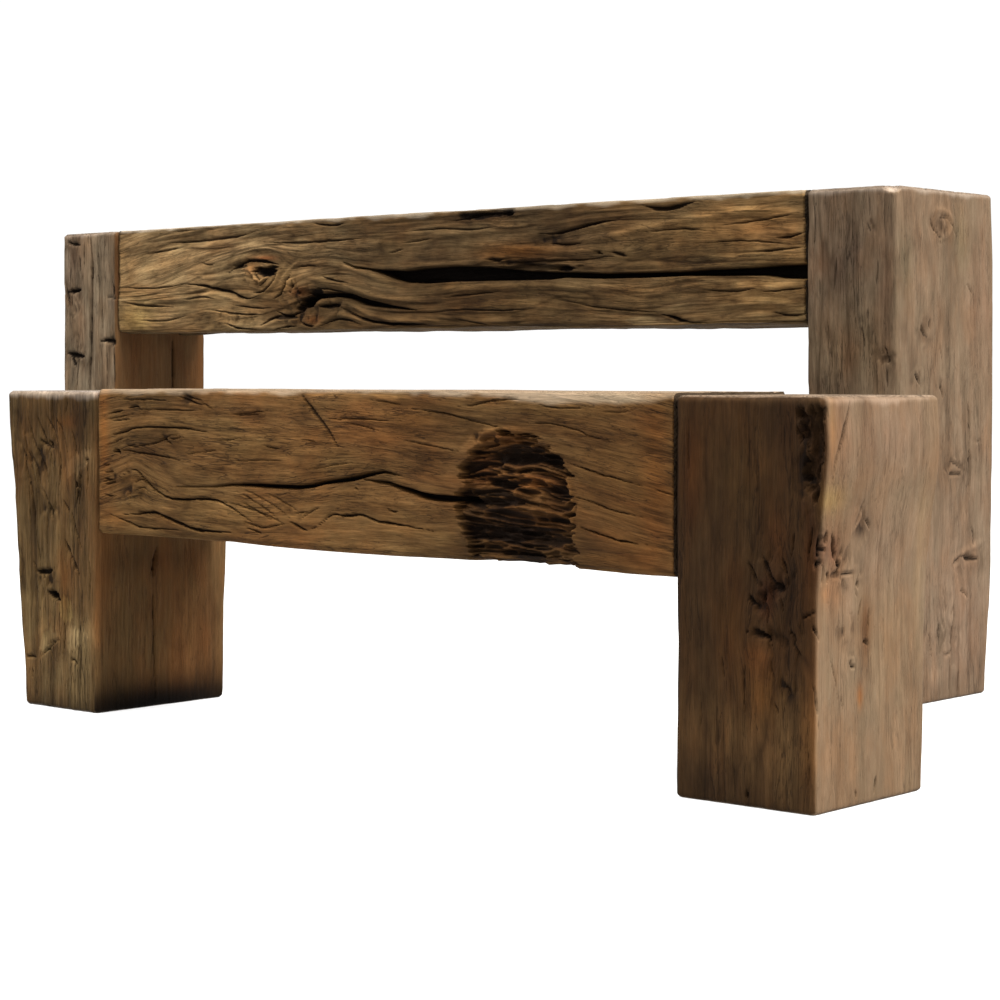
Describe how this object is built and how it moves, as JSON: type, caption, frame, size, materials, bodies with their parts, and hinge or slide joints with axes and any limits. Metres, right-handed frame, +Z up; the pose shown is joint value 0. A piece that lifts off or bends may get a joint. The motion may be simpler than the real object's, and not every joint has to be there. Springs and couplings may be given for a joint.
{
  "type": "rustic log bench",
  "caption": "Pair of rustic log benches, a low seat and a table-height one behind it, each a heavy hewn beam tenoned between squared post blocks of old weathered timber.",
  "frame": {"origin": "on the floor, under the middle of the box that holds both benches", "axes": "+X along the benches to the right as seen from the front, +Y from the low bench back to the tall one, +Z up"},
  "size_m": [2.289, 1.062, 0.753],
  "materials": {
    "low_left_post": "weathered, hewn, dry oiled",
    "low_right_post": "weathered, hewn, dry oiled",
    "low_seat_beam": "weathered, hewn, dry oiled",
    "tall_left_post": "weathered, hewn, dry oiled",
    "tall_right_post": "weathered, hewn, dry oiled",
    "tall_top_beam": "weathered, hewn, dry oiled",
    "peg": "dry end grain"
  },
  "bodies": {
    "root": {"low_left_post": "low_left_post", "low_right_post": "low_right_post", "low_seat_beam": "low_seat_beam", "tall_left_post": "tall_left_post", "tall_right_post": "tall_right_post", "tall_top_beam": "tall_top_beam", "low_left_lower_peg": "peg", "low_left_upper_peg": "peg", "low_right_lower_peg": "peg", "low_right_upper_peg": "peg", "tall_left_lower_peg": "peg", "tall_left_upper_peg": "peg", "tall_right_lower_peg": "peg", "tall_right_upper_peg": "peg"}
  },
  "joints": []
}
